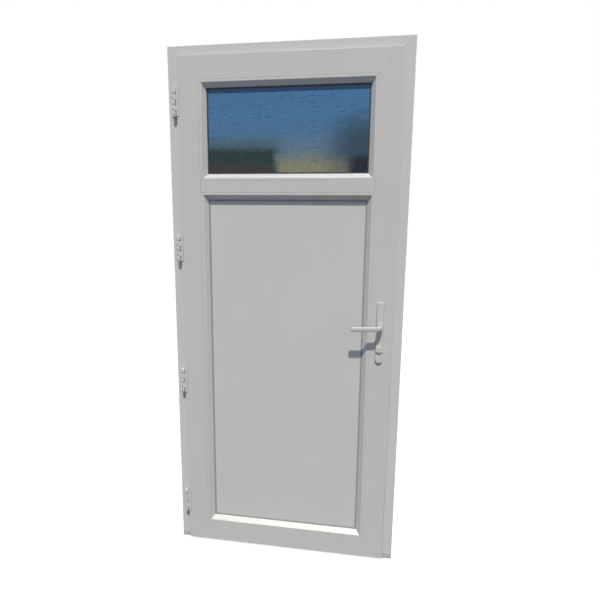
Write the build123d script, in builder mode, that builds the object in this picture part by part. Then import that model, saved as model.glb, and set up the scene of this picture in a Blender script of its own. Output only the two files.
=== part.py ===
from build123d import *
import math
import os

os.makedirs("parts", exist_ok=True)

# A white plastic side door in its three-sided frame on a low threshold, seen
# from the room side: four barrel hinges on the left, a lever handle on the
# right, a glazed light over a transom and a plain panel below it.
# X runs from the hinge jamb's outer face to the right, Y into the wall and
# Z up. The origin lies on that outer face, at mid depth, at the datum height.

# Overall size of the door set
door_width = 900.0
door_height = 2000.0
datum_height = 1000.0

# Frame profile
frame_depth = 70.0
frame_face = 46.0
stop_reach = 20.0
stop_depth = 15.0
stop_slope = 4.0
edge_radius = 2.0
clip_groove_width = 4.0
clip_groove_depth = 3.0
clip_groove_inset = 12.0

# Sash profile and how it sits in the frame
reveal = 38.0
sash_stand = 15.0
lip_reach = 20.0
lip_gap = 5.0
stop_gap = 5.0
sash_face = 84.0
glazing_leg_reach = 22.0
leg_slope = 4.0
groove_width = 16.0
groove_depth = 3.0
groove_centre = 18.0
sash_floor_gap = 8.0

# Transom between the glazed light and the panel
transom_face = 43.0
transom_height = 1475.0

# Glazing: beads, gaskets, glass unit and panel
glazing_thickness = 24.0
glazing_setback = 19.0
glazing_edge_gap = 6.0
pane_thickness = 4.0
spacer_width = 12.0
bead_land = 10.0
bead_slope_width = 16.0
bead_nose_radius = 2.5
bead_foot_width = 4.0
bead_foot_depth = 3.0
bead_foot_inset = 6.0
gasket_thickness = 2.5
gasket_cover = 5.0
gasket_show = 4.5

# Weather seals
seal_foot_width = 4.0
seal_foot_depth = 3.0
seal_bulb_width = 7.0
seal_clearance = 0.8
sash_seal_inset = 4.0
frame_seal_inset = 13.0

# Threshold and its end blocks
threshold_height = 20.0
threshold_setback = 2.0
threshold_slope_depth = 16.0
threshold_slope_drop = 6.0
tread_groove_width = 3.0
tread_groove_depth = 1.5
tread_groove_pitch = 8.0
tread_groove_count = 4

# Hinges
hinge_count = 4
hinge_above_sash_bottom = 172.0
hinge_below_sash_top = 162.0
hinge_height = 96.0
hinge_knuckles = 5
hinge_play = 0.4
knuckle_radius = 7.5
pin_radius = 4.5
pin_play = 0.05
hinge_setout = 11.5
hinge_stand = 11.0
leaf_thickness = 2.0
frame_leaf_width = 20.0
frame_leaf_inset = 12.0
sash_leaf_width = 6.0
sash_leaf_inset = 2.0
arm_edge_inset = 1.5
knuckle_web = 4.5

# Lever handle
handle_inset = 47.0
lever_height = 980.0
lever_stand = 40.0
lever_length = 107.0
neck_radius = 9.8
neck_length = 18.0
lever_bend = 20.0
bend_step = 30
grip_height = 17.5
grip_depth = 10.4
lever_droop = 4.0
lever_tip_chamfer = 1.5
neck_seat = 6.0
neck_play = 0.3
handle_plate_width = 26.0
handle_plate_above = 98.0
handle_plate_below = 138.0
handle_plate_thickness = 8.0
plate_edge_chamfer = 2.0
spindle_size = 8.0
spindle_seat = 20.0
spindle_play = 0.05
spindle_hole_radius = 7.0

# Lock: cylinder, faceplate, bolts and strike
cylinder_drop = 85.0
cylinder_radius = 8.5
cylinder_leg_width = 10.0
cylinder_total = 33.0
cylinder_play = 0.3
cylinder_proud = 1.0
boss_radius = 12.3
boss_height = 5.0
keyway_width = 2.0
keyway_height = 9.0
keyway_depth = 3.0
faceplate_above_sash_bottom = 192.0
faceplate_below_sash_top = 162.0
latch_height = 26.0
latch_width = 12.0
latch_proud = 3.0
latch_depth = 10.0
latch_rise = 60.0
deadbolt_proud = 0.5
deadbolt_height = 30.0
strike_length = 190.0
strike_width = 24.0
strike_thickness = 2.5
strike_pocket_depth = 14.0
strike_hole_play = 4.0

# Places worked out from the sizes above
floor = -datum_height
room_face = -frame_depth / 2
head_top = floor + door_height
threshold_top = floor + threshold_height
stop_face = frame_depth - stop_depth
sash_left = reveal
sash_right = door_width - reveal
sash_bottom = floor + sash_floor_gap
sash_top = head_top - reveal
sash_front = -sash_stand
sash_back = stop_face - stop_gap
lip_back = -lip_gap
glass_front = sash_front + glazing_setback
bead_back = glass_front - gasket_thickness
glass_back = glass_front + glazing_thickness
leg_front = glass_back + gasket_thickness
light_left = sash_left + sash_face
light_right = sash_right - sash_face
panel_bottom = sash_bottom + sash_face
panel_top = floor + transom_height
light_bottom = panel_top + transom_face
light_top = sash_top - sash_face
bead_width = bead_land + bead_slope_width
handle_x = sash_right - handle_inset
lever_z = floor + lever_height
cylinder_z = lever_z - cylinder_drop
sash_middle = (sash_front + sash_back) / 2
hinge_x = sash_left - hinge_setout
hinge_y = room_face - hinge_stand

mirror_through_sash = Plane(origin=(0, room_face + sash_middle, 0), z_dir=(0, 1, 0))


def finish(builder, name):
    """Label a finished piece and write it as one STEP file."""
    builder.part.label = name
    export_step(builder.part, f"parts/{name}.step")


def bar(section, corner, inward, run, length, mitre_start=True, mitre_end=True):
    """A straight length of a profile, cut at 45 degrees at its mitred ends."""
    start = Vector(*corner)
    inward = Vector(*inward)
    run = Vector(*run)
    with BuildPart() as piece:
        with BuildSketch(Plane(origin=start, x_dir=inward, z_dir=run)):
            add(section)
        extrude(amount=length)
        if mitre_start:
            split(bisect_by=Plane(origin=start, z_dir=run - inward), keep=Keep.TOP)
        if mitre_end:
            end = start + run * length
            split(bisect_by=Plane(origin=end, z_dir=-run - inward), keep=Keep.TOP)
    return piece


def ring(section, left, right, bottom, top):
    """Four mitred bars round a rectangle, with the section's x towards its middle."""
    up = (0, 0, 1)
    down = (0, 0, -1)
    rightward = (1, 0, 0)
    leftward = (-1, 0, 0)
    width = right - left
    height = top - bottom
    return {
        "left": bar(section, (left, room_face, bottom), rightward, up, height),
        "top": bar(section, (left, room_face, top), down, rightward, width),
        "right": bar(section, (right, room_face, top), leftward, down, height),
        "bottom": bar(section, (right, room_face, bottom), up, leftward, width),
    }


# Frame profile, room face at the bottom of the sketch
with BuildSketch() as frame_section:
    with BuildLine():
        Polyline(
            (0, 0),
            (frame_face, 0),
            (frame_face, stop_face),
            (frame_face + stop_reach, stop_face),
            (frame_face + stop_reach, frame_depth - stop_depth / 2),
            (frame_face + stop_reach - stop_slope, frame_depth),
            (0, frame_depth),
            close=True,
        )
    make_face()
    fillet(frame_section.vertices().group_by(Axis.Y)[0], radius=edge_radius)
    with Locations((0, clip_groove_inset), (0, frame_depth - clip_groove_inset)):
        Rectangle(2 * clip_groove_depth, clip_groove_width, mode=Mode.SUBTRACT)
    with Locations((frame_face + frame_seal_inset, stop_face)):
        Rectangle(seal_foot_width, 2 * seal_foot_depth, mode=Mode.SUBTRACT)

# Sash profile, its lip over the frame at the left and the glazing leg at the right
with BuildSketch() as sash_section:
    with BuildLine():
        Polyline(
            (0, sash_front),
            (sash_face, sash_front),
            (sash_face, leg_front),
            (sash_face + glazing_leg_reach, leg_front),
            (sash_face + glazing_leg_reach, (leg_front + sash_back) / 2),
            (sash_face + glazing_leg_reach - leg_slope, sash_back),
            (lip_reach, sash_back),
            (lip_reach, lip_back),
            (0, lip_back),
            close=True,
        )
    make_face()
    fillet(sash_section.vertices().group_by(Axis.Y)[0].sort_by(Axis.X)[0], radius=edge_radius)
    with Locations((lip_reach, groove_centre)):
        Rectangle(2 * groove_depth, groove_width, mode=Mode.SUBTRACT)
    with Locations((sash_face, sash_front + bead_foot_inset)):
        Rectangle(2 * bead_foot_depth, bead_foot_width, mode=Mode.SUBTRACT)
    with Locations((sash_seal_inset + seal_foot_width / 2, lip_back)):
        Rectangle(seal_foot_width, 2 * seal_foot_depth, mode=Mode.SUBTRACT)

# Frame head and jambs, mitred at the top and square on the threshold
jamb_length = head_top - threshold_top
hinge_jamb = bar(
    frame_section.sketch,
    (0, room_face, threshold_top),
    (1, 0, 0),
    (0, 0, 1),
    jamb_length,
    mitre_start=False,
)
finish(hinge_jamb, "frame_jamb_hinge")

head = bar(frame_section.sketch, (0, room_face, head_top), (0, 0, -1), (1, 0, 0), door_width)
finish(head, "frame_head")

plain_lock_jamb = bar(
    frame_section.sketch,
    (door_width, room_face, head_top),
    (-1, 0, 0),
    (0, 0, -1),
    jamb_length,
    mitre_end=False,
)

# The lock jamb has a flat pocket for the strike and two deep ones for the bolts
strike_x = door_width - frame_face
strike_z = (lever_z + latch_rise + cylinder_z) / 2
latch_z = lever_z + latch_rise
bolt_y = room_face + groove_centre
strike_plane = Plane(origin=(strike_x, bolt_y, strike_z), x_dir=(0, 1, 0), z_dir=(1, 0, 0))
hole_width = latch_width + strike_hole_play
bolt_places = [(latch_z, latch_height), (cylinder_z, deadbolt_height)]

with BuildPart() as lock_jamb:
    add(plain_lock_jamb.part)
    with BuildSketch(strike_plane):
        Rectangle(strike_width, strike_length)
    extrude(amount=strike_thickness, mode=Mode.SUBTRACT)
    with BuildSketch(strike_plane):
        for bolt_z, bolt_height in bolt_places:
            with Locations((0, bolt_z - strike_z)):
                Rectangle(hole_width, bolt_height + strike_hole_play)
    extrude(amount=strike_pocket_depth, mode=Mode.SUBTRACT)
finish(lock_jamb, "frame_jamb_lock")

with BuildPart() as strike:
    with BuildSketch(strike_plane):
        Rectangle(strike_width, strike_length)
        for bolt_z, bolt_height in bolt_places:
            with Locations((0, bolt_z - strike_z)):
                Rectangle(hole_width, bolt_height + strike_hole_play, mode=Mode.SUBTRACT)
    extrude(amount=strike_thickness)
finish(strike, "strike_plate")

# Threshold between the end blocks, with grooves in its tread
with BuildPart() as threshold:
    with BuildSketch(Plane(origin=(frame_face, room_face, floor), x_dir=(0, 1, 0), z_dir=(1, 0, 0))):
        with BuildLine():
            Polyline(
                (threshold_setback, 0),
                (frame_depth, 0),
                (frame_depth, threshold_height - threshold_slope_drop),
                (frame_depth - threshold_slope_depth, threshold_height),
                (threshold_setback, threshold_height),
                close=True,
            )
        make_face()
        first_groove = (stop_face - (tread_groove_count - 1) * tread_groove_pitch) / 2
        for index in range(tread_groove_count):
            with Locations((first_groove + index * tread_groove_pitch, threshold_height)):
                Rectangle(tread_groove_width, 2 * tread_groove_depth, mode=Mode.SUBTRACT)
    extrude(amount=door_width - 2 * frame_face)
finish(threshold, "threshold")

for name, block_x in (("threshold_end_hinge", frame_face / 2),
                      ("threshold_end_lock", door_width - frame_face / 2)):
    with BuildPart() as end_block:
        with BuildSketch(Plane.XY.offset(floor)):
            with Locations((block_x, 0)):
                Rectangle(frame_face, frame_depth)
        extrude(amount=threshold_height)
    finish(end_block, name)

# Seal along the frame's stop, up both jambs and across the head
with BuildSketch() as frame_seal_section:
    with Locations((frame_face + frame_seal_inset, stop_face)):
        Rectangle(seal_foot_width, seal_foot_depth, align=(Align.CENTER, Align.MIN))
        Rectangle(seal_bulb_width, stop_gap - seal_clearance, align=(Align.CENTER, Align.MAX))

frame_seal_bars = [
    bar(frame_seal_section.sketch, (0, room_face, threshold_top), (1, 0, 0), (0, 0, 1),
        jamb_length, mitre_start=False),
    bar(frame_seal_section.sketch, (0, room_face, head_top), (0, 0, -1), (1, 0, 0), door_width),
    bar(frame_seal_section.sketch, (door_width, room_face, head_top), (-1, 0, 0), (0, 0, -1),
        jamb_length, mitre_end=False),
]
with BuildPart() as frame_seal:
    for seal_bar in frame_seal_bars:
        add(seal_bar.part)
finish(frame_seal, "frame_seal")

# Sash stiles and rails
sash_bars = ring(sash_section.sketch, sash_left, sash_right, sash_bottom, sash_top)
finish(sash_bars["left"], "sash_stile_hinge")
finish(sash_bars["top"], "sash_rail_top")
finish(sash_bars["bottom"], "sash_rail_bottom")

sash_depth = sash_back - sash_front
leg_length = cylinder_total - cylinder_radius - cylinder_leg_width / 2
through_sash = Plane(
    origin=(handle_x, room_face + sash_back, lever_z), x_dir=(1, 0, 0), z_dir=(0, -1, 0)
)

with BuildPart() as lock_stile:
    add(sash_bars["right"].part)
    with BuildSketch(through_sash):
        Circle(spindle_hole_radius)
        with Locations((0, -cylinder_drop)):
            Circle(cylinder_radius + cylinder_play)
            Rectangle(
                cylinder_leg_width + 2 * cylinder_play,
                leg_length,
                align=(Align.CENTER, Align.MAX),
            )
        with Locations((0, -cylinder_drop - leg_length)):
            Circle(cylinder_leg_width / 2 + cylinder_play)
    extrude(amount=sash_depth, mode=Mode.SUBTRACT)
finish(lock_stile, "sash_stile_lock")

# Seal in the back of the sash's lip
with BuildSketch() as sash_seal_section:
    with Locations((sash_seal_inset + seal_foot_width / 2, lip_back)):
        Rectangle(seal_foot_width, seal_foot_depth, align=(Align.CENTER, Align.MAX))
        Rectangle(seal_bulb_width, lip_gap - seal_clearance, align=(Align.CENTER, Align.MIN))

sash_seal_bars = ring(sash_seal_section.sketch, sash_left, sash_right, sash_bottom, sash_top)
with BuildPart() as sash_seal:
    for seal_bar in sash_seal_bars.values():
        add(seal_bar.part)
finish(sash_seal, "sash_seal")

# Transom: a web between the stiles, and two glazing legs between theirs
light_width = light_right - light_left
leg_span = light_width - 2 * glazing_leg_reach
transom_z = (panel_top + light_bottom) / 2

with BuildPart() as transom:
    with BuildSketch(Plane(origin=(light_left, room_face, transom_z), x_dir=(0, 0, 1), z_dir=(-1, 0, 0))) as web:
        with Locations((0, sash_front)):
            Rectangle(transom_face, leg_front - sash_front, align=(Align.CENTER, Align.MIN))
        with Locations((transom_face / 2, sash_front + bead_foot_inset),
                       (-transom_face / 2, sash_front + bead_foot_inset)):
            Rectangle(2 * bead_foot_depth, bead_foot_width, mode=Mode.SUBTRACT)
    extrude(amount=-light_width)
    leg_edge = transom_face / 2 + glazing_leg_reach
    with BuildSketch(Plane(
        origin=(light_left + glazing_leg_reach, room_face, transom_z), x_dir=(0, 0, 1), z_dir=(-1, 0, 0)
    )):
        with BuildLine():
            Polyline(
                (-leg_edge, leg_front),
                (leg_edge, leg_front),
                (leg_edge, (leg_front + sash_back) / 2),
                (leg_edge - leg_slope, sash_back),
                (leg_slope - leg_edge, sash_back),
                (-leg_edge, (leg_front + sash_back) / 2),
                close=True,
            )
        make_face()
    extrude(amount=-leg_span)
finish(transom, "transom")

# Glazing beads with their feet in the sash's groove
with BuildSketch() as bead_section:
    with BuildLine():
        Polyline(
            (0, sash_front),
            (bead_land, sash_front),
            (bead_width, bead_back),
            (0, bead_back),
            close=True,
        )
    make_face()
    fillet(bead_section.vertices().group_by(Axis.Y)[0].sort_by(Axis.X)[-1], radius=bead_nose_radius)
    with Locations((0, sash_front + bead_foot_inset)):
        Rectangle(bead_foot_depth, bead_foot_width, align=(Align.MAX, Align.CENTER))

# Gaskets between the beads and the glass, and between the glass and the legs
with BuildSketch() as gasket_section:
    with Locations((bead_width - gasket_cover, bead_back)):
        Rectangle(gasket_cover + gasket_show, gasket_thickness, align=(Align.MIN, Align.MIN))
    with Locations((glazing_leg_reach - gasket_cover, glass_back)):
        Rectangle(gasket_cover + gasket_show / 2, gasket_thickness, align=(Align.MIN, Align.MIN))

openings = {
    "light": (light_bottom, light_top),
    "panel": (panel_bottom, panel_top),
}
for opening, (bottom, top) in openings.items():
    beads = ring(bead_section.sketch, light_left, light_right, bottom, top)
    for side, bead in beads.items():
        finish(bead, f"{opening}_bead_{side}")
    gasket_bars = ring(gasket_section.sketch, light_left, light_right, bottom, top)
    with BuildPart() as gaskets:
        for gasket_bar in gasket_bars.values():
            add(gasket_bar.part)
    finish(gaskets, f"{opening}_gaskets")


def sheet_plane(depth, bottom, top):
    """A plane in the glazing, at a depth from the frame's face, looking outwards."""
    middle = ((light_left + light_right) / 2, room_face + depth, (bottom + top) / 2)
    return Plane(origin=middle, x_dir=(-1, 0, 0), z_dir=(0, 1, 0))


sheet_width = light_width - 2 * glazing_edge_gap
light_sheet_height = light_top - light_bottom - 2 * glazing_edge_gap
panel_sheet_height = panel_top - panel_bottom - 2 * glazing_edge_gap

with BuildPart() as room_pane:
    with BuildSketch(sheet_plane(glass_front, light_bottom, light_top)):
        Rectangle(sheet_width, light_sheet_height)
    extrude(amount=pane_thickness)
finish(room_pane, "glass_pane_room")

with BuildPart() as outer_pane:
    with BuildSketch(sheet_plane(glass_back - pane_thickness, light_bottom, light_top)):
        Rectangle(sheet_width, light_sheet_height)
    extrude(amount=pane_thickness)
finish(outer_pane, "glass_pane_outer")

with BuildPart() as spacer:
    with BuildSketch(sheet_plane(glass_front + pane_thickness, light_bottom, light_top)):
        Rectangle(sheet_width, light_sheet_height)
        Rectangle(
            sheet_width - 2 * spacer_width,
            light_sheet_height - 2 * spacer_width,
            mode=Mode.SUBTRACT,
        )
    extrude(amount=glazing_thickness - 2 * pane_thickness)
finish(spacer, "glass_spacer")

with BuildPart() as panel:
    with BuildSketch(sheet_plane(glass_front, panel_bottom, panel_top)):
        Rectangle(sheet_width, panel_sheet_height)
    extrude(amount=glazing_thickness)
finish(panel, "lower_panel")

# Barrel hinges: the frame's leaf carries the pin and the odd knuckles, the sash's the even ones
knuckle_pitch = hinge_height / hinge_knuckles
knuckle_height = knuckle_pitch - hinge_play
hinge_lowest = sash_bottom + hinge_above_sash_bottom
hinge_highest = sash_top - hinge_below_sash_top
hinge_spacing = (hinge_highest - hinge_lowest) / (hinge_count - 1)
frame_leaf_middle = frame_leaf_inset + frame_leaf_width / 2
sash_leaf_middle = sash_left + sash_leaf_inset + sash_leaf_width / 2
sash_surface = room_face + sash_front
frame_leaf_front = room_face - leaf_thickness
sash_leaf_front = sash_surface - leaf_thickness


def knuckle_levels(centre, first):
    """Lower ends of every second knuckle, counted from the bottom."""
    lowest = centre - hinge_height / 2 + hinge_play / 2
    return [lowest + index * knuckle_pitch for index in range(first, hinge_knuckles, 2)]


def frame_leaf(centre):
    """The leaf on the jamb: a plate, a web back to each of its knuckles, and the fixed pin."""
    levels = knuckle_levels(centre, 0)
    with BuildPart() as leaf:
        face = Plane(origin=(frame_leaf_middle, room_face, centre), x_dir=(1, 0, 0), z_dir=(0, -1, 0))
        with BuildSketch(face):
            Rectangle(frame_leaf_width, hinge_height)
        extrude(amount=leaf_thickness)
        for level in levels:
            with BuildSketch(Plane.XY.offset(level)):
                with Locations((hinge_x, hinge_y)):
                    Circle(knuckle_radius)
                with Locations((hinge_x + knuckle_web, hinge_y)):
                    Rectangle(
                        knuckle_radius + knuckle_web,
                        frame_leaf_front - hinge_y,
                        align=(Align.MAX, Align.MIN),
                    )
            extrude(amount=knuckle_height)
        for lower, upper in zip(levels, levels[1:]):
            with BuildSketch(Plane.XY.offset(lower + knuckle_height)):
                with Locations((hinge_x, hinge_y)):
                    Circle(pin_radius)
            extrude(amount=upper - lower - knuckle_height)
    return leaf


def sash_leaf(centre):
    """The leaf on the stile: a narrow plate with an arm to each of its knuckles."""
    with BuildPart() as leaf:
        face = Plane(origin=(sash_leaf_middle, sash_surface, centre), x_dir=(1, 0, 0), z_dir=(0, -1, 0))
        with BuildSketch(face):
            Rectangle(sash_leaf_width, hinge_height)
        extrude(amount=leaf_thickness)
        for level in knuckle_levels(centre, 1):
            with BuildSketch(Plane.XY.offset(level)):
                with BuildLine():
                    Polyline(
                        (hinge_x, hinge_y - knuckle_radius),
                        (sash_leaf_middle + sash_leaf_width / 2 - arm_edge_inset, sash_leaf_front),
                        (sash_leaf_middle - sash_leaf_width / 2, sash_leaf_front),
                        (sash_left - arm_edge_inset, hinge_y),
                        (hinge_x, hinge_y + knuckle_radius / 2),
                        close=True,
                    )
                make_face()
                with Locations((hinge_x, hinge_y)):
                    Circle(knuckle_radius)
                    Circle(pin_radius + pin_play, mode=Mode.SUBTRACT)
            extrude(amount=knuckle_height)
    return leaf


hinge_centres = [hinge_lowest + index * hinge_spacing for index in range(hinge_count)]
for number, centre in enumerate(hinge_centres, start=1):
    finish(frame_leaf(centre), f"hinge_{number}_frame_leaf")
    finish(sash_leaf(centre), f"hinge_{number}_sash_leaf")

# Handle plates with a boss round the cylinder's nose
plate_height = handle_plate_above + handle_plate_below
plate_shift = (handle_plate_above - handle_plate_below) / 2
room_plate_back = room_face + sash_front
lever_plane = Plane(origin=(handle_x, room_plate_back, lever_z), x_dir=(1, 0, 0), z_dir=(0, -1, 0))

with BuildPart() as room_plate:
    with BuildSketch(lever_plane):
        with Locations((0, plate_shift)):
            SlotOverall(plate_height, handle_plate_width, rotation=90)
    extrude(amount=handle_plate_thickness)
    chamfer(room_plate.faces().sort_by(Axis.Y)[0].edges(), length=plate_edge_chamfer)
    with BuildSketch(lever_plane):
        with Locations((0, -cylinder_drop)):
            Circle(boss_radius)
    extrude(amount=handle_plate_thickness + boss_height)
    with BuildSketch(lever_plane):
        Circle(neck_radius + neck_play)
        with Locations((0, -cylinder_drop)):
            Circle(cylinder_radius + cylinder_play)
    extrude(amount=handle_plate_thickness + boss_height, mode=Mode.SUBTRACT)
finish(room_plate, "handle_plate_room")

with BuildPart() as outer_plate:
    mirror(room_plate.part, about=mirror_through_sash)
finish(outer_plate, "handle_plate_outer")

# Lever: a round neck in the plate, from which a flat grip bends round and runs to its tip
neck_base = room_plate_back - handle_plate_thickness + neck_seat
grip_y = room_plate_back - lever_stand
neck_start = (handle_x, neck_base, lever_z)
neck_plane = Plane(origin=neck_start, x_dir=(1, 0, 0), z_dir=(0, -1, 0))
grip_tip = (handle_x - lever_length, grip_y, lever_z - lever_droop)


def bend_point(turn):
    """Place on the grip's middle line where it has turned this many degrees from the neck."""
    along, across = math.sin(math.radians(turn)), math.cos(math.radians(turn))
    return (handle_x - lever_bend * (1 - across), grip_y + lever_bend * (1 - along), lever_z)


bend = [bend_point(turn) for turn in range(0, 91, bend_step)]

with BuildPart() as room_lever:
    with BuildLine():
        Polyline(neck_start, *bend, grip_tip)
    with BuildSketch(neck_plane):
        SlotOverall(grip_height, grip_depth, rotation=90)
    sweep(transition=Transition.RIGHT)
    chamfer(room_lever.faces().sort_by(Axis.X)[0].edges(), length=lever_tip_chamfer)
    with BuildSketch(neck_plane):
        Circle(neck_radius)
    extrude(amount=neck_length)
    with BuildSketch(neck_plane):
        Rectangle(spindle_size + 2 * spindle_play, spindle_size + 2 * spindle_play)
    extrude(amount=spindle_seat, mode=Mode.SUBTRACT)
finish(room_lever, "lever_room")

with BuildPart() as outer_lever:
    mirror(room_lever.part, about=mirror_through_sash)
finish(outer_lever, "lever_outer")

spindle_front = neck_base - spindle_seat
spindle_length = 2 * (room_face + sash_middle - spindle_front)
with BuildPart() as spindle:
    with BuildSketch(Plane(origin=(handle_x, spindle_front, lever_z), x_dir=(-1, 0, 0), z_dir=(0, 1, 0))):
        Rectangle(spindle_size, spindle_size)
    extrude(amount=spindle_length)
finish(spindle, "handle_spindle")

# Lock cylinder: keyhole-shaped body in the stile and a round nose in each plate
nose_length = handle_plate_thickness + boss_height + cylinder_proud
with BuildPart() as cylinder:
    with BuildSketch(through_sash):
        with Locations((0, -cylinder_drop)):
            Circle(cylinder_radius)
            Rectangle(cylinder_leg_width, leg_length, align=(Align.CENTER, Align.MAX))
        with Locations((0, -cylinder_drop - leg_length)):
            Circle(cylinder_leg_width / 2)
    extrude(amount=sash_depth)
    with BuildSketch(through_sash.offset(-nose_length)):
        with Locations((0, -cylinder_drop)):
            Circle(cylinder_radius)
    extrude(amount=sash_depth + 2 * nose_length)
    with BuildSketch(through_sash.offset(sash_depth + nose_length - keyway_depth)):
        with Locations((0, -cylinder_drop)):
            Rectangle(keyway_width, keyway_height)
    extrude(amount=keyway_depth, mode=Mode.SUBTRACT)
    with BuildSketch(through_sash.offset(-nose_length)):
        with Locations((0, -cylinder_drop)):
            Rectangle(keyway_width, keyway_height)
    extrude(amount=keyway_depth, mode=Mode.SUBTRACT)
finish(cylinder, "lock_cylinder")

# Lock faceplate in the sash's edge groove, with the bolts standing in it
edge_x = sash_right - lip_reach
faceplate_low = sash_bottom + faceplate_above_sash_bottom
faceplate_high = sash_top - faceplate_below_sash_top
faceplate_z = (faceplate_low + faceplate_high) / 2
edge_plane = Plane(origin=(edge_x, bolt_y, faceplate_z), x_dir=(0, -1, 0), z_dir=(-1, 0, 0))

with BuildPart() as faceplate:
    with BuildSketch(edge_plane):
        Rectangle(groove_width, faceplate_high - faceplate_low)
        for bolt_z, bolt_height in bolt_places:
            with Locations((0, bolt_z - faceplate_z)):
                Rectangle(latch_width, bolt_height, mode=Mode.SUBTRACT)
    extrude(amount=groove_depth)
finish(faceplate, "lock_faceplate")

with BuildPart() as bolts:
    for (bolt_z, bolt_height), proud in zip(bolt_places, (latch_proud, deadbolt_proud)):
        with BuildSketch(edge_plane.offset(groove_depth)):
            with Locations((0, bolt_z - faceplate_z)):
                Rectangle(latch_width, bolt_height)
        extrude(amount=-groove_depth - proud)
finish(bolts, "lock_bolts")
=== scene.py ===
"""Looks of a white plastic side door in its own frame: finishes, patterned glass, fixings and light.

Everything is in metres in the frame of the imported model. X runs across the door from the hinge
jamb, Y runs into the wall and Z is up, so the room side faces -Y.
"""

import math
import random

import bmesh
import bpy
import numpy as np
from mathutils import Matrix, Vector

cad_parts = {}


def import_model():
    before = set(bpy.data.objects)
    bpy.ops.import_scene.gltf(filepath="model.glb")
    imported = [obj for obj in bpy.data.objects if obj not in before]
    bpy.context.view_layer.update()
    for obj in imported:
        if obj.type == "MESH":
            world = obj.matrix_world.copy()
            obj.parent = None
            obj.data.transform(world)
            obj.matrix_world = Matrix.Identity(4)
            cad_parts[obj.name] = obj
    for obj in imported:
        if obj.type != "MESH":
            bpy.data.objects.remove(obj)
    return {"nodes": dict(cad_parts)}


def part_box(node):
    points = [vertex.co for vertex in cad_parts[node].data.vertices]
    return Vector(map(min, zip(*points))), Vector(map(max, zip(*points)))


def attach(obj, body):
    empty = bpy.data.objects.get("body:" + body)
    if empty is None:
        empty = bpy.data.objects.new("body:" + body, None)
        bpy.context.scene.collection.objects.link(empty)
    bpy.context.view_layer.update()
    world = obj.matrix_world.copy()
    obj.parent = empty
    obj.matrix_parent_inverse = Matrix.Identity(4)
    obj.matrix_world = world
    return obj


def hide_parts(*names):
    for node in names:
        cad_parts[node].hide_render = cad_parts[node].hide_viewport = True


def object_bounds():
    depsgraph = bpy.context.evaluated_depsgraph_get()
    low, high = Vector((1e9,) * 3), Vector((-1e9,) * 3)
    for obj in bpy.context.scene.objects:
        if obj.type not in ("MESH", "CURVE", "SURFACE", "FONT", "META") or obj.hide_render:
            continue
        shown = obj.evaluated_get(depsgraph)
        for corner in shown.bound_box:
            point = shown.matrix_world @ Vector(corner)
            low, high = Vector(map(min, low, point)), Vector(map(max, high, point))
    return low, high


MM = 0.001

# Camera and light, fitted to the photograph
camera_place = Vector((0.7556, -1.7129, 0.3549))
camera_yaw = math.radians(8.41)
camera_pitch = math.radians(-9.50)
camera_roll = math.radians(0.69)
camera_lens = 26.69
camera_sensor = 36.0
camera_clip = 10 * MM
sun_direction = Vector((0.061, -0.465, 0.883))
sun_strength = 3.78
sun_colour = (1.0, 0.945, 0.83)
sun_spread = math.radians(2.0)
back_left = Vector((-0.62, 0.78, 0.10))
back_right = Vector((0.62, 0.78, 0.10))
back_strength = 1.05
back_colour = (1.0, 0.94, 0.85)
back_spread = math.radians(50.0)
sky_colour = (0.62, 0.76, 1.0)
sky_strength = 0.39

# Pale ground
floor_half = 12.0
floor_tone = (0.11, 0.113, 0.12)
floor_glow = 0.72
floor_shade = 0.3

# Rounded edges that moulded, extruded and pressed parts have
profile_round = 0.6 * MM
bead_round = 0.6 * MM
transom_round = 1.1 * MM
metal_round = 0.3 * MM
cover_round = 0.8 * MM
curve_angle = math.radians(35)
flat_angle = math.radians(1.0)
weld_reach = 0.01 * MM

# White plastic and metal
white = (0.575, 0.578, 0.580)
# The frame's white is a lighter copy of the sash's white: painted light for the light bounced onto the
# frame
frame_white_painted_bounce = (0.600, 0.608, 0.618)
plastic_contrast = 0.02
metal_grain_depth = 0.03 * MM
rubber_grain_depth = 0.05 * MM
noise_low = 0.3
noise_high = 0.7

# Painted shade in the seams: how far from a neighbour it reaches, and the openness at its darkest and its
# end
seam_reach = 3 * MM
seam_dark = 0.55
seam_clear = 0.85
seam_samples = 6

# Patterned glass: short strokes pressed into the room-side face
glass_index = 1.5
glass_pitch = 2.0 * MM
stroke_cell = 25 * MM
stroke_rows_per_cell = 1.5
stroke_width = 2.6 * MM
stroke_depth = 0.6 * MM
stroke_depths = (0.1, 0.25, 0.4, 0.75)
upright_depth = 0.8
shortest_half = 5 * MM
longest_half = 12 * MM
stroke_waver = 6
crossed_share = 0.12

# Painted reflection in the patterned glass: sky, hedges and ground painted into its colour
waver_across = 15 * MM
waver_up = 10 * MM
sky_tones = (
    (0.0, (0.135, 0.218, 0.292)),
    (0.35, (0.078, 0.196, 0.368)),
    (0.75, (0.069, 0.205, 0.408)),
    (1.0, (0.064, 0.195, 0.405)),
)
haze = (0.058, 0.112, 0.138)
sand = (0.255, 0.250, 0.168)
grey_ground = (0.140, 0.150, 0.135)
hedge = (0.020, 0.044, 0.046)
earth = (0.044, 0.043, 0.037)
slate = (0.038, 0.082, 0.132)
slate_lean = 0.25
navy = (0.010, 0.016, 0.034)
# Painted reflection along the pressed strokes: a dark blue laid into the glass colour, more of it where
# they lie deeper
stroke_painted_blue = (0.030, 0.075, 0.150)
stroke_paint_share = 0.8

# Lever handles
neck_radius = 9.8 * MM
neck_length = 18 * MM
lever_bend = 20 * MM
grip_height = 17.5 * MM
grip_depth = 10.4 * MM
grip_drop = 4 * MM
tip_round = 2.4 * MM
bend_steps = 12
tip_steps = 6

# Rings of a skin: a circle at roundness 2, flatter-sided above it
ring_points = 32
circle = 2.0
grip_roundness = 3.4
keyway_roundness = 5.0

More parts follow.
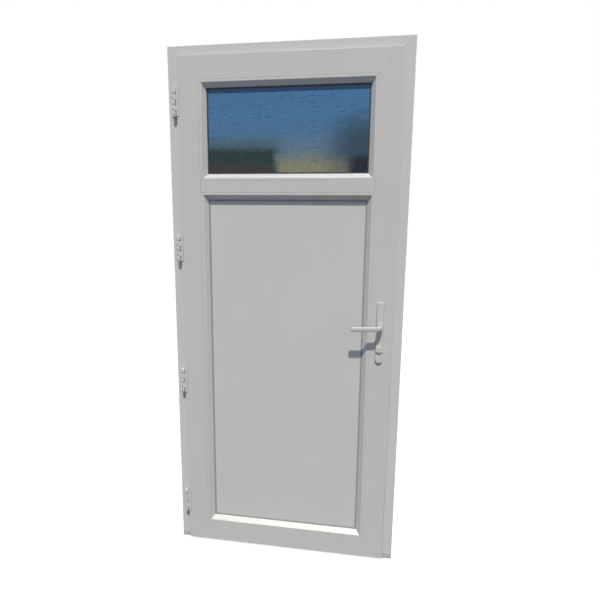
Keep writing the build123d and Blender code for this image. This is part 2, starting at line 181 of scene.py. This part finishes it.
# Hinges
barrel_x = 26.5 * MM
barrel_radius = 7.5 * MM
cap_sink = 0.5 * MM
cap_wall = 1.6 * MM
cap_shoulder = 2.8 * MM
cap_rise = 3.6 * MM
cap_crown = 0.4 * MM
cover_left = 36.2 * MM
cover_thickness = 2.1 * MM

# Lock cylinder's plug
cylinder_radius = 8.5 * MM
plug_radius = 6.6 * MM
plug_sink = 0.2 * MM
plug_rise = 0.5 * MM
keyway_width = 2.2 * MM
keyway_height = 7.6 * MM
keyway_draft = 0.1 * MM
keyway_floor = 0.1 * MM

# Screws of the lock, with their places as shares of each plate's height
screw_radius = 3.6 * MM
screw_sink = 0.3 * MM
screw_edge = 0.1 * MM
screw_rise = 0.5 * MM
recess_floor = 0.12 * MM
faceplate_places = (0.02, 0.25, 0.62, 0.8, 0.98)
strike_places = (0.06, 0.94)

SIDES = ("left", "right", "top", "bottom")
HINGES = ("hinge_1", "hinge_2", "hinge_3", "hinge_4")


# Materials


def new_material(name, roughness, metallic=0.0, specular=0.5):
    material = bpy.data.materials.new(name)
    material.use_nodes = True
    shader = material.node_tree.nodes["Principled BSDF"]
    shader.inputs["Roughness"].default_value = roughness
    shader.inputs["Metallic"].default_value = metallic
    shader.inputs["Specular IOR Level"].default_value = specular
    return material, material.node_tree, shader


def noise(tree, stretch, detail=3.0, rough=0.5):
    """Noise over the object's own coordinates, with stretch cycles per metre along X, Y and Z."""
    place = tree.nodes.new("ShaderNodeTexCoord")
    mapping = tree.nodes.new("ShaderNodeMapping")
    mapping.inputs["Scale"].default_value = stretch
    texture = tree.nodes.new("ShaderNodeTexNoise")
    texture.inputs["Scale"].default_value = 1.0
    texture.inputs["Detail"].default_value = detail
    texture.inputs["Roughness"].default_value = rough
    tree.links.new(place.outputs["Object"], mapping.inputs["Vector"])
    tree.links.new(mapping.outputs["Vector"], texture.inputs["Vector"])
    return texture.outputs["Fac"]


def ramp(tree, source, stops):
    """Colours or greys by level: stops are (level, colour) pairs from low to high."""
    node = tree.nodes.new("ShaderNodeValToRGB")
    elements = node.color_ramp.elements
    while len(elements) < len(stops):
        elements.new(0.5)
    for element, (level, colour) in zip(elements, stops):
        element.position = level
        element.color = (*colour, 1.0)
    tree.links.new(source, node.inputs["Fac"])
    return node.outputs["Color"]


def levels(tree, source, low, high):
    """Spreads a noise from low to high."""
    node = tree.nodes.new("ShaderNodeMapRange")
    node.inputs["From Min"].default_value = noise_low
    node.inputs["From Max"].default_value = noise_high
    node.inputs["To Min"].default_value = low
    node.inputs["To Max"].default_value = high
    tree.links.new(source, node.inputs["Value"])
    return node.outputs["Result"]


def step(tree, source, start, end):
    """0 at start and 1 at end, with a soft passage between them."""
    node = tree.nodes.new("ShaderNodeMapRange")
    node.interpolation_type = "SMOOTHSTEP"
    node.inputs["From Min"].default_value = start
    node.inputs["From Max"].default_value = end
    tree.links.new(source, node.inputs["Value"])
    return node.outputs["Result"]


def combine(tree, operation, first, second):
    """A sum, product or the like of two sockets, or of a socket and a number."""
    node = tree.nodes.new("ShaderNodeMath")
    node.operation = operation
    for socket, value in zip(node.inputs, (first, second)):
        if isinstance(value, (int, float)):
            socket.default_value = value
        else:
            tree.links.new(value, socket)
    return node.outputs["Value"]


def bump(tree, shader, source, depth, strength=1.0):
    node = tree.nodes.new("ShaderNodeBump")
    node.inputs["Distance"].default_value = depth
    node.inputs["Strength"].default_value = strength
    tree.links.new(source, node.inputs["Height"])
    tree.links.new(node.outputs["Normal"], shader.inputs["Normal"])


def scaled(colour, factor):
    return tuple(c * factor for c in colour)


def painted_seam_shade(tree, colours, seam_shade_tone):
    """Painted shade in the seams beside other pieces: darkens a colour to seam_shade_tone of itself where
    its ambient occlusion is low.
    """
    openness = tree.nodes.new("ShaderNodeAmbientOcclusion")
    openness.samples = seam_samples
    openness.inputs["Distance"].default_value = seam_reach
    shade = ramp(tree, openness.outputs["AO"], ((seam_dark, (seam_shade_tone,) * 3), (seam_clear, (1.0,) * 3)))
    shaded_colours = tree.nodes.new("ShaderNodeMix")
    shaded_colours.data_type = "RGBA"
    shaded_colours.blend_type = "MULTIPLY"
    shaded_colours.inputs["Factor"].default_value = 1.0
    tree.links.new(colours, shaded_colours.inputs["A"])
    tree.links.new(shade, shaded_colours.inputs["B"])
    return shaded_colours.outputs["Result"]


def moulded(name, colour, grain, roughness=0.34, grain_depth=0.04 * MM, seam_shade_tone=0.5):
    """White plastic: a faint unevenness in tone, die lines, a satin sheen and painted shade in its seams.
    """
    material, tree, shader = new_material(name, roughness)
    tone = noise(tree, (3.0, 3.0, 3.0), detail=5.0, rough=0.6)
    darker, lighter = scaled(colour, 1 - plastic_contrast), scaled(colour, 1 + plastic_contrast)
    colours = ramp(tree, tone, ((noise_low, darker), (noise_high, lighter)))
    # painted shade: the colour is darkened in the seams by ambient occlusion
    tree.links.new(painted_seam_shade(tree, colours, seam_shade_tone), shader.inputs["Base Color"])
    lines = noise(tree, grain, detail=2.0)
    sheen = levels(tree, lines, roughness - 0.05, roughness + 0.07)
    tree.links.new(sheen, shader.inputs["Roughness"])
    bump(tree, shader, lines, grain_depth)
    return material


def rubber(name, dark, light):
    material, tree, shader = new_material(name, 0.62, specular=0.35)
    tone = noise(tree, (60.0, 60.0, 60.0), detail=4.0)
    colours = ramp(tree, tone, ((noise_low, dark), (noise_high, light)))
    tree.links.new(colours, shader.inputs["Base Color"])
    bump(tree, shader, noise(tree, (900.0, 900.0, 900.0)), rubber_grain_depth)
    return material


def drawn_metal(name, colour, grain, roughness):
    """Metal with fine lines along the way it was rolled, drawn or brushed."""
    material, tree, shader = new_material(name, roughness, metallic=1.0)
    lines = noise(tree, grain, detail=4.0, rough=0.7)
    colours = ramp(tree, lines, ((0.25, scaled(colour, 0.86)), (0.75, colour)))
    tree.links.new(colours, shader.inputs["Base Color"])
    sheen = levels(tree, lines, roughness - 0.06, roughness + 0.1)
    tree.links.new(sheen, shader.inputs["Roughness"])
    bump(tree, shader, lines, metal_grain_depth)
    return material


def paint(tree, under, colour, *masks):
    """Lays a colour over another where all the masks are 1."""
    mask = masks[0]
    for other in masks[1:]:
        mask = combine(tree, "MULTIPLY", mask, other)
    node = tree.nodes.new("ShaderNodeMix")
    node.data_type = "RGBA"
    node.inputs["B"].default_value = (*colour, 1.0)
    tree.links.new(mask, node.inputs["Factor"])
    tree.links.new(under, node.inputs["A"])
    return node.outputs["Result"]


def wavering_place(tree):
    """The object's X and Z, shifted a little to and fro as rough glass does."""
    place = tree.nodes.new("ShaderNodeTexCoord")
    split = tree.nodes.new("ShaderNodeSeparateXYZ")
    tree.links.new(place.outputs["Object"], split.inputs["Vector"])
    across_noise = noise(tree, (26.0, 1.0, 34.0), detail=5.0, rough=0.65)
    up_noise = noise(tree, (26.0, 5.0, 44.0), detail=5.0, rough=0.7)
    across = levels(tree, across_noise, -waver_across, waver_across)
    up = levels(tree, up_noise, -waver_up, waver_up)
    return (combine(tree, "ADD", split.outputs["X"], across),
            combine(tree, "ADD", split.outputs["Z"], up))


def painted_glass_reflection(tree):
    """A painted reflection: a clear sky over blurred hedges and sandy ground, laid over each other as broad
    soft areas.
    Each step says where an area begins and where it is full, in metres across the door or up it."""
    x, z = wavering_place(tree)
    slope = combine(tree, "SUBTRACT", x, combine(tree, "MULTIPLY", z, slate_lean))
    view = ramp(tree, step(tree, z, 0.585, 0.86), sky_tones)
    view = paint(tree, view, haze, step(tree, z, 0.700, 0.625), step(tree, x, 0.480, 0.360))
    view = paint(tree, view, sand, step(tree, z, 0.636, 0.566), step(tree, x, 0.370, 0.440))
    view = paint(tree, view, grey_ground, step(tree, z, 0.636, 0.566), step(tree, x, 0.560, 0.690))
    view = paint(tree, view, hedge, step(tree, z, 0.644, 0.616), step(tree, x, 0.432, 0.388))
    view = paint(tree, view, earth, step(tree, z, 0.610, 0.550), step(tree, x, 0.420, 0.370))
    view = paint(tree, view, slate, step(tree, slope, 0.385, 0.535),
                 step(tree, z, 0.800, 0.665), step(tree, z, 0.560, 0.625))
    return paint(tree, view, navy, step(tree, z, 0.630, 0.588), step(tree, x, 0.650, 0.710))


def patterned_glass(name):
    """Obscure glass with a painted reflection: a blurred view painted into its colour, and its pressed
    strokes painted blue.
    """
    material, tree, shader = new_material(name, 0.14, specular=0.2)
    shader.inputs["IOR"].default_value = glass_index
    shader.inputs["Transmission Weight"].default_value = 0.05
    stroke = tree.nodes.new("ShaderNodeAttribute")
    stroke.attribute_name = "stroke"
    stroke_paint = combine(tree, "MULTIPLY", stroke.outputs["Fac"], stroke_paint_share)
    # painted reflection: the view and the strokes' blue are laid into the base colour
    colours = paint(tree, painted_glass_reflection(tree), stroke_painted_blue, stroke_paint)
    tree.links.new(colours, shader.inputs["Base Color"])
    bump(tree, shader, noise(tree, (160.0, 10.0, 160.0), detail=3.0), 0.3 * MM, 0.5)
    return material


def clear_glass(name):
    material, tree, shader = new_material(name, 0.03)
    shader.inputs["IOR"].default_value = glass_index
    shader.inputs["Transmission Weight"].default_value = 0.9
    tone = noise(tree, (4.0, 4.0, 4.0))
    colours = ramp(tree, tone, ((noise_low, (0.70, 0.84, 0.82)), (noise_high, (0.74, 0.87, 0.86))))
    tree.links.new(colours, shader.inputs["Base Color"])
    tree.links.new(levels(tree, tone, 0.02, 0.05), shader.inputs["Roughness"])
    return material


def all_materials():
    upright, level, fine = (700.0, 700.0, 4.0), (4.0, 700.0, 700.0), (700.0, 700.0, 700.0)
    matt = (500.0, 500.0, 500.0)
    return {
        "frame_upright": moulded("pvc_frame_upright", frame_white_painted_bounce, upright),
        "frame_level": moulded("pvc_frame_level", frame_white_painted_bounce, level),
        "sash_upright": moulded("pvc_sash_upright", white, upright),
        "sash_level": moulded("pvc_sash_level", white, level),
        "bead": moulded("bead_white", white, fine, roughness=0.42, grain_depth=0.02 * MM),
        "panel": moulded("panel_white", scaled(white, 1.02), matt, roughness=0.38),
        "transom": moulded("pvc_transom", white, level, seam_shade_tone=0.25),
        "hinge": moulded("hinge_white", scaled(white, 1.03), fine, roughness=0.3, seam_shade_tone=0.85),
        "handle": moulded("handle_white", scaled(white, 1.04), fine, roughness=0.32, seam_shade_tone=0.7),
        # The lever's white is a darker copy of the plastic white: painted shade that holds down its
        # brightly lit top
        "lever": moulded("lever_white_painted_shade", scaled(white, 0.90), fine, seam_shade_tone=0.8),
        "rubber": rubber("rubber_black", (0.010, 0.012, 0.015), (0.028, 0.030, 0.034)),
        # The glass gaskets are rubber painted darker and bluer than the panel's: painted shade along the
        # glass's edge
        "glass_gasket": rubber("gasket_grey_painted_shade", (0.030, 0.042, 0.060), (0.045, 0.058, 0.078)),
        "panel_gasket": rubber("gasket_grey", (0.28, 0.29, 0.305), (0.33, 0.34, 0.355)),
        "patterned": patterned_glass("obscure_glass"),
        "clear": clear_glass("clear_glass"),
        "spacer": drawn_metal("spacer_aluminium", (0.62, 0.63, 0.64), (40.0, 900.0, 40.0), 0.32),
        "threshold": drawn_metal("threshold_aluminium", (0.60, 0.60, 0.61), (5.0, 900.0, 900.0), 0.36),
        "end_block": moulded("end_block_grey", (0.48, 0.485, 0.49), matt, roughness=0.45),
        "steel": drawn_metal("lock_steel", (0.55, 0.55, 0.56), (900.0, 900.0, 8.0), 0.3),
        "nickel": drawn_metal("cylinder_nickel", (0.52, 0.52, 0.51), fine, 0.40),
        "keyway": drawn_metal("keyway_dark", (0.05, 0.05, 0.05), fine, 0.5),
    }


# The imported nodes


def soften(piece, width, flats=True):
    """Rounds a piece's edges, which leaves a fine groove where two pieces meet. With flats the
    facets of each flat face are joined first."""
    weld = piece.modifiers.new("weld", "WELD")
    weld.merge_threshold = weld_reach
    if flats:
        merge = piece.modifiers.new("merge_flats", "DECIMATE")
        merge.decimate_type = "DISSOLVE"
        merge.angle_limit = flat_angle
    bevel = piece.modifiers.new("rounded_edges", "BEVEL")
    bevel.width = width
    bevel.segments = 2
    bevel.limit_method = "ANGLE"
    bevel.angle_limit = curve_angle
    bevel.harden_normals = True


def dress(frame, names, material, width):
    """Gives nodes their material and, where width isn't 0, rounded edges."""
    for name in names:
        piece = frame["nodes"][name]
        piece.data.materials.clear()
        piece.data.materials.append(material)
        if width:
            soften(piece, width, flats=not name.startswith("hinge_"))


def dress_nodes(frame, materials):
    dress(frame, ["frame_jamb_hinge", "frame_jamb_lock"], materials["frame_upright"], profile_round)
    dress(frame, ["frame_head"], materials["frame_level"], profile_round)
    dress(frame, ["sash_stile_hinge", "sash_stile_lock"], materials["sash_upright"], profile_round)
    dress(frame, ["sash_rail_top", "sash_rail_bottom"], materials["sash_level"], profile_round)
    dress(frame, ["transom"], materials["transom"], transom_round)
    dress(frame, [f"{hole}_bead_{side}" for hole in ("light", "panel") for side in SIDES],
          materials["bead"], bead_round)
    dress(frame, ["lower_panel"], materials["panel"], profile_round)
    dress(frame, [f"{hinge}_{leaf}" for hinge in HINGES for leaf in ("frame_leaf", "sash_leaf")],
          materials["hinge"], metal_round)
    dress(frame, ["handle_plate_room", "handle_plate_outer"], materials["handle"], metal_round)
    dress(frame, ["frame_seal", "sash_seal"], materials["rubber"], 0)
    dress(frame, ["light_gaskets"], materials["glass_gasket"], 0)
    dress(frame, ["panel_gaskets"], materials["panel_gasket"], 0)
    dress(frame, ["glass_pane_room"], materials["patterned"], 0)
    dress(frame, ["glass_pane_outer"], materials["clear"], 0)
    dress(frame, ["glass_spacer"], materials["spacer"], 0)
    dress(frame, ["threshold"], materials["threshold"], metal_round)
    dress(frame, ["threshold_end_hinge", "threshold_end_lock"], materials["end_block"], profile_round)
    dress(frame, ["lock_faceplate", "lock_bolts", "strike_plate", "handle_spindle"],
          materials["steel"], metal_round)
    dress(frame, ["lock_cylinder"], materials["nickel"], metal_round)


# New pieces


def mesh_piece(name, bm, material, body):
    bmesh.ops.recalc_face_normals(bm, faces=bm.faces)
    mesh = bpy.data.meshes.new(name)
    bm.to_mesh(mesh)
    bm.free()
    mesh.materials.append(material)
    piece = bpy.data.objects.new(name, mesh)
    bpy.context.scene.collection.objects.link(piece)
    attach(piece, body)
    return piece


def smooth(piece):
    for face in piece.data.polygons:
        face.use_smooth = True


def join_rings(bm, near, far):
    """A band of four-sided faces between two closed rings with as many points."""
    for i in range(len(near)):
        j = (i + 1) % len(near)
        bm.faces.new((near[i], near[j], far[j], far[i]))


def rounded_ring(bm, place, across, half_width, half_height, roundness):
    """One ring of a skin about place: a circle at roundness 2, flatter-sided above it."""
    ring = []
    for i in range(ring_points):
        turn = 2 * math.pi * i / ring_points
        wide = math.copysign(abs(math.cos(turn)) ** (2 / roundness), math.cos(turn))
        tall = math.copysign(abs(math.sin(turn)) ** (2 / roundness), math.sin(turn))
        point = place + across * half_width * wide + Vector((0, 0, half_height * tall))
        ring.append(bm.verts.new(point))
    return ring


def close_skin(bm, rings):
    """Joins rings into one skin and closes both ends. Returns the face at the last ring."""
    for near, far in zip(rings, rings[1:]):
        join_rings(bm, near, far)
    bm.faces.new(rings[0])
    return bm.faces.new(rings[-1])


def lathe(bm, profile, place, segments=32):
    """Turns (radius, height) points about Z and puts the solid at place. Radius 0 closes an end."""
    turn = 2 * math.pi / segments
    rings = []
    for radius, height in profile:
        if radius == 0:
            rings.append([bm.verts.new((0, 0, height))])
        else:
            rings.append([
                bm.verts.new((radius * math.cos(turn * i), radius * math.sin(turn * i), height))
                for i in range(segments)
            ])
    for lower, upper in zip(rings, rings[1:]):
        for i in range(segments):
            j = (i + 1) % segments
            corners = [lower[i % len(lower)], lower[j % len(lower)],
                       upper[j % len(upper)], upper[i % len(upper)]]
            bm.faces.new(list(dict.fromkeys(corners)))
    bmesh.ops.transform(bm, matrix=place, verts=[v for ring in rings for v in ring])


def block(bm, low, high):
    """An upright block between two corners."""
    outline = ((low.x, low.y), (high.x, low.y), (high.x, high.y), (low.x, high.y))
    bottom, top = [[bm.verts.new((x, y, z)) for x, y in outline] for z in (low.z, high.z)]
    close_skin(bm, [bottom, top])


def upright_chance(right, down):
    """How likely a stroke stands upright: seldom at the upper left, mostly at the right and below."""
    return 0.05 + 1.3 * max(down - 0.35, 0.8 * (right - 0.4), 0)


def glass_strokes(low, high):
    """Middle, direction, half length and depth of each stroke: level and upright ones, and a few
    with a shorter one across them."""
    rng = random.Random(7)
    width, height = high.x - low.x, high.z - low.z
    columns = int(width / stroke_cell)
    rows = int(height / stroke_cell * stroke_rows_per_cell)
    strokes = []
    for row in range(rows):
        for column in range(columns):
            x = low.x + (column + 0.5 + rng.uniform(-0.5, 0.5)) * width / columns
            z = low.z + (row + 0.5 + rng.uniform(-0.4, 0.4)) * height / rows
            upright = rng.random() < upright_chance((x - low.x) / width, 1 - (z - low.z) / height)
            turn = math.radians(rng.gauss(90 if upright else 0, stroke_waver))
            half = rng.uniform(shortest_half, longest_half)
            depth = rng.choice(stroke_depths) * (upright_depth if upright else 1.0)
            strokes.append((x, z, turn, half, depth))
            if rng.random() < crossed_share:
                end_x, end_z = x + half * math.cos(turn), z + half * math.sin(turn)
                strokes.append((end_x, end_z - half / 2, turn + math.pi / 2, half / 2, depth))
    return strokes


def stroke_level(x, z, strokes):
    """How deep the strokes lie at each point: 0 on the plain glass, up to 1 in the deepest."""
    level = np.zeros(x.shape)
    for middle_x, middle_z, turn, half, depth in strokes:
        along = (x - middle_x) * math.cos(turn) + (z - middle_z) * math.sin(turn)
        off = along - np.clip(along, -half, half)
        side = (z - middle_z) * math.cos(turn) - (x - middle_x) * math.sin(turn)
        near = np.clip(1.0 - np.hypot(off, side) / (stroke_width / 2 + glass_pitch / 2), 0.0, 1.0)
        level = np.maximum(level, depth * np.sqrt(near))
    return level


def pressed_slab(low, high, xs, zs, level):
    """A closed slab whose front is a grid with the strokes pressed in, with a rim and a flat back."""
    bm = bmesh.new()
    depths = low.y + stroke_depth * level
    grid = [
        [bm.verts.new(point) for point in zip(*row)]
        for row in zip(xs, depths, zs)
    ]
    for lower, upper in zip(grid, grid[1:]):
        for c in range(len(lower) - 1):
            bm.faces.new((lower[c], lower[c + 1], upper[c + 1], upper[c]))
    right, left = [row[-1] for row in grid[1:]], [row[0] for row in grid[-2:0:-1]]
    rim = grid[0] + right + grid[-1][-2::-1] + left
    back = [bm.verts.new((v.co.x, high.y, v.co.z)) for v in rim]
    join_rings(bm, back, rim)
    bm.faces.new(back)
    return bm


def patterned_pane(material):
    """The room-side pane with its pattern pressed into the face."""
    low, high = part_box("glass_pane_room")
    columns = int((high.x - low.x) / glass_pitch)
    rows = int((high.z - low.z) / glass_pitch)
    across, up = np.linspace(low.x, high.x, columns + 1), np.linspace(low.z, high.z, rows + 1)
    xs, zs = np.meshgrid(across, up)
    level = stroke_level(xs, zs, glass_strokes(low, high))
    level[0, :] = level[-1, :] = 0.0
    level[:, 0] = level[:, -1] = 0.0
    bm = pressed_slab(low, high, xs, zs, level)
    pane = mesh_piece("glass_patterned", bm, material, "leaf")
    for face in pane.data.polygons:
        face.use_smooth = len(face.vertices) == 4
    attribute = pane.data.attributes.new("stroke", "FLOAT", "POINT")
    values = np.zeros(len(pane.data.vertices), np.float32)
    values[: level.size] = level.ravel()
    attribute.data.foreach_set("value", values)
    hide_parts("glass_pane_room")


def hinge_caps(material):
    """A domed cap on each end of every hinge barrel."""
    wall = barrel_radius * 0.97
    profile = ((0, -cap_sink), (wall, -cap_sink), (wall, cap_wall), (barrel_radius * 0.86, cap_shoulder),
               (barrel_radius * 0.55, cap_rise), (0, cap_rise + cap_crown))
    for hinge in HINGES:
        low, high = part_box(f"{hinge}_frame_leaf")
        axis_y = low.y + barrel_radius
        upside_down = Matrix.Rotation(math.pi, 4, "X")
        bm = bmesh.new()
        lathe(bm, profile, Matrix.Translation((barrel_x, axis_y, high.z)))
        lathe(bm, profile, Matrix.Translation((barrel_x, axis_y, low.z)) @ upside_down)
        smooth(mesh_piece(f"{hinge}_caps", bm, material, "frame"))


def hinge_covers(material):
    """The cover over each sash leaf, which comes close up to the barrel."""
    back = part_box("sash_stile_hinge")[0].y
    for hinge in HINGES:
        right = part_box(f"{hinge}_sash_leaf")[1].x
        low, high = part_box(f"{hinge}_frame_leaf")
        bm = bmesh.new()
        block(bm, Vector((cover_left, back - cover_thickness, low.z)), Vector((right, back, high.z)))
        cover = mesh_piece(f"{hinge}_cover", bm, material, "leaf")
        soften(cover, cover_round)


def lever_stations(reach, length):
    """Along the lever: distance out from the door, distance from the neck's axis, turn, how much of
    the grip's section is reached, and the scale at the rounded tip."""
    neck = [(neck_length * share, 0.0, 0.0, 0.0, 1.0) for share in (0.0, 0.5, 1.0)]
    bend = []
    for i in range(1, bend_steps + 1):
        share = i / bend_steps
        turn = math.pi / 2 * share
        out, along = neck_length + lever_bend * math.sin(turn), lever_bend * (1 - math.cos(turn))
        bend.append((out, along, turn, share * share * (3 - 2 * share), 1.0))
    out = reach - grip_depth / 2
    start, end = lever_bend, length - tip_round
    grip = [(out, start + (end - start) * share, math.pi / 2, 1.0, 1.0) for share in (0.25, 0.5, 0.75, 1.0)]
    tip = []
    for i in range(1, tip_steps):
        turn = math.pi / 2 * i / tip_steps
        scale = 1 - (1 - math.cos(turn)) * 2 * tip_round / grip_depth
        tip.append((out, end + tip_round * math.sin(turn), math.pi / 2, 1.0, scale))
    return neck + bend + grip + tip


def lever(name, node, material, outward):
    """A lever handle in one smooth skin: a round neck that bends into a flat, softly rounded grip."""
    low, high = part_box(node)
    root, front = (high.y, low.y) if outward < 0 else (low.y, high.y)
    axis_x, axis_z = high.x - neck_radius, high.z - neck_radius
    length = axis_x - low.x
    bm = bmesh.new()
    rings = []
    for out, along, turn, share, scale in lever_stations(abs(front - root), length):
        drop = grip_drop * max(along - lever_bend, 0) / (length - lever_bend)
        place = Vector((axis_x - along, root + outward * out, axis_z - drop))
        across = Vector((math.cos(turn), outward * math.sin(turn), 0))
        half_width = (neck_radius + (grip_depth / 2 - neck_radius) * share) * scale
        half_height = neck_radius + (grip_height / 2 - neck_radius) * share
        half_height -= (1 - scale) * grip_depth / 2
        roundness = circle + (grip_roundness - circle) * share
        rings.append(rounded_ring(bm, place, across, half_width, half_height, roundness))
    close_skin(bm, rings)
    piece = mesh_piece(name, bm, material, "handle")
    smooth(piece)
    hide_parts(node)


def cylinder_plug(name, materials, face_y, outward):
    """The turning plug in the lock cylinder's face, with its keyway."""
    low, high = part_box("lock_cylinder")
    middle = Vector(((low.x + high.x) / 2, face_y, high.z - cylinder_radius))
    top_radius = 0.93 * plug_radius
    half_width, half_height = keyway_width / 2, keyway_height / 2
    bm = bmesh.new()
    rings = []
    for wide, tall, out, roundness in (
        (plug_radius, plug_radius, -plug_sink, circle),
        (plug_radius, plug_radius, 0.7 * plug_rise, circle),
        (top_radius, top_radius, plug_rise, circle),
        (half_width, half_height, plug_rise, keyway_roundness),
        (half_width - keyway_draft, half_height - keyway_draft, keyway_floor, keyway_roundness),
    ):
        place = middle + Vector((0, outward * out, 0))
        rings.append(rounded_ring(bm, place, Vector((1, 0, 0)), wide, tall, roundness))
    keyway = close_skin(bm, rings)
    keyway.material_index = 1
    plug = mesh_piece(name, bm, materials["nickel"], "leaf")
    plug.data.materials.append(materials["keyway"])


def screw(bm, place, facing):
    """A low round screw head with a round recess, facing along X."""
    recess = screw_radius * 0.45
    profile = ((0, -screw_sink), (screw_radius, -screw_sink), (screw_radius, screw_edge),
               (screw_radius * 0.8, screw_rise), (recess, screw_rise),
               (recess * 0.95, recess_floor), (0, recess_floor))
    lathe(bm, profile, Matrix.Translation(place) @ Matrix.Rotation(facing * math.pi / 2, 4, "Y"), 24)


def screws(name, plate, shares, facing, material, body):
    """Screws up a plate's middle, each at its share of the plate's height."""
    low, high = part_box(plate)
    face_x = high.x if facing > 0 else low.x
    bm = bmesh.new()
    for share in shares:
        place = Vector((face_x, (low.y + high.y) / 2, low.z + (high.z - low.z) * share))
        screw(bm, place, facing)
    mesh_piece(name, bm, material, body)


def fittings(materials):
    hinge_caps(materials["hinge"])
    hinge_covers(materials["hinge"])
    lever("lever_room_grip", "lever_room", materials["lever"], -1)
    lever("lever_outer_grip", "lever_outer", materials["lever"], 1)
    low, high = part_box("lock_cylinder")
    cylinder_plug("cylinder_plug_room", materials, low.y, -1)
    cylinder_plug("cylinder_plug_outer", materials, high.y, 1)
    screws("faceplate_screws", "lock_faceplate", faceplate_places, 1, materials["steel"], "leaf")
    screws("strike_screws", "strike_plate", strike_places, -1, materials["steel"], "frame")


# Stage, camera and light


def background_mix(tree, output, plain, white_strength):
    """White for what looks at the background straight, in a mirror or through glass, and plain for
    the rest."""
    path = tree.nodes.new("ShaderNodeLightPath")
    seen = path.outputs["Is Camera Ray"]
    for other in ("Is Glossy Ray", "Is Transmission Ray"):
        seen = combine(tree, "MAXIMUM", seen, path.outputs[other])
    glow = tree.nodes.new("ShaderNodeEmission")
    glow.inputs["Color"].default_value = (1, 1, 1, 1)
    glow.inputs["Strength"].default_value = white_strength
    mix = tree.nodes.new("ShaderNodeMixShader")
    tree.links.new(seen, mix.inputs["Fac"])
    tree.links.new(plain, mix.inputs[1])
    tree.links.new(glow.outputs["Emission"], mix.inputs[2])
    tree.links.new(mix.outputs["Shader"], output)
    return glow, mix


def floor_material():
    """Pale ground that looks white apart from the door's shadow."""
    material, tree, shader = new_material("floor_pale", 0.9, specular=0.0)
    shader.inputs["Base Color"].default_value = (*floor_tone, 1)
    output = tree.nodes["Material Output"].inputs["Surface"]
    glow, mix = background_mix(tree, output, shader.outputs["BSDF"], floor_glow)
    pale = tree.nodes.new("ShaderNodeBsdfDiffuse")
    pale.inputs["Color"].default_value = (floor_shade, floor_shade, floor_shade, 1)
    both = tree.nodes.new("ShaderNodeAddShader")
    tree.links.new(glow.outputs["Emission"], both.inputs[0])
    tree.links.new(pale.outputs["BSDF"], both.inputs[1])
    tree.links.new(both.outputs["Shader"], mix.inputs[2])
    return material


def floor(height):
    corners = ((-floor_half, -floor_half), (floor_half, -floor_half),
               (floor_half, floor_half), (-floor_half, floor_half))
    bm = bmesh.new()
    bm.faces.new([bm.verts.new((x, y, height)) for x, y in corners])
    mesh = bpy.data.meshes.new("floor")
    bm.to_mesh(mesh)
    bm.free()
    mesh.materials.append(floor_material())
    plane = bpy.data.objects.new("floor", mesh)
    bpy.context.scene.collection.objects.link(plane)


def distant_lamp(name, direction, strength, colour, spread):
    lamp = bpy.data.lights.new(name, "SUN")
    lamp.energy = strength
    lamp.color = colour
    lamp.angle = spread
    holder = bpy.data.objects.new(name, lamp)
    holder.rotation_euler = direction.to_track_quat("Z", "Y").to_euler()
    bpy.context.scene.collection.objects.link(holder)


def daylight():
    distant_lamp("sun", sun_direction, sun_strength, sun_colour, sun_spread)
    distant_lamp("back_left", back_left, back_strength, back_colour, back_spread)
    distant_lamp("back_right", back_right, back_strength, back_colour, back_spread)
    world = bpy.data.worlds.new("sky")
    bpy.context.scene.world = world
    world.use_nodes = True
    tree = world.node_tree
    plain = tree.nodes["Background"]
    plain.inputs["Color"].default_value = (*sky_colour, 1)
    plain.inputs["Strength"].default_value = sky_strength
    background_mix(tree, tree.nodes["World Output"].inputs["Surface"], plain.outputs["Background"], 1.0)


def camera():
    lens = bpy.data.cameras.new("camera")
    lens.sensor_width = camera_sensor
    lens.lens = camera_lens
    lens.clip_start = camera_clip
    view = bpy.data.objects.new("camera", lens)
    view.matrix_world = (
        Matrix.Translation(camera_place)
        @ Matrix.Rotation(camera_yaw, 4, "Z")
        @ Matrix.Rotation(math.pi / 2 + camera_pitch, 4, "X")
        @ Matrix.Rotation(camera_roll, 4, "Z")
    )
    bpy.context.scene.collection.objects.link(view)
    bpy.context.scene.camera = view


def main():
    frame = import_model()
    cad_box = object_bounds()
    bpy.context.scene.view_settings.view_transform = "Standard"
    materials = all_materials()
    dress_nodes(frame, materials)
    patterned_pane(materials["patterned"])
    fittings(materials)
    floor(cad_box[0][2])
    daylight()
    camera()


main()
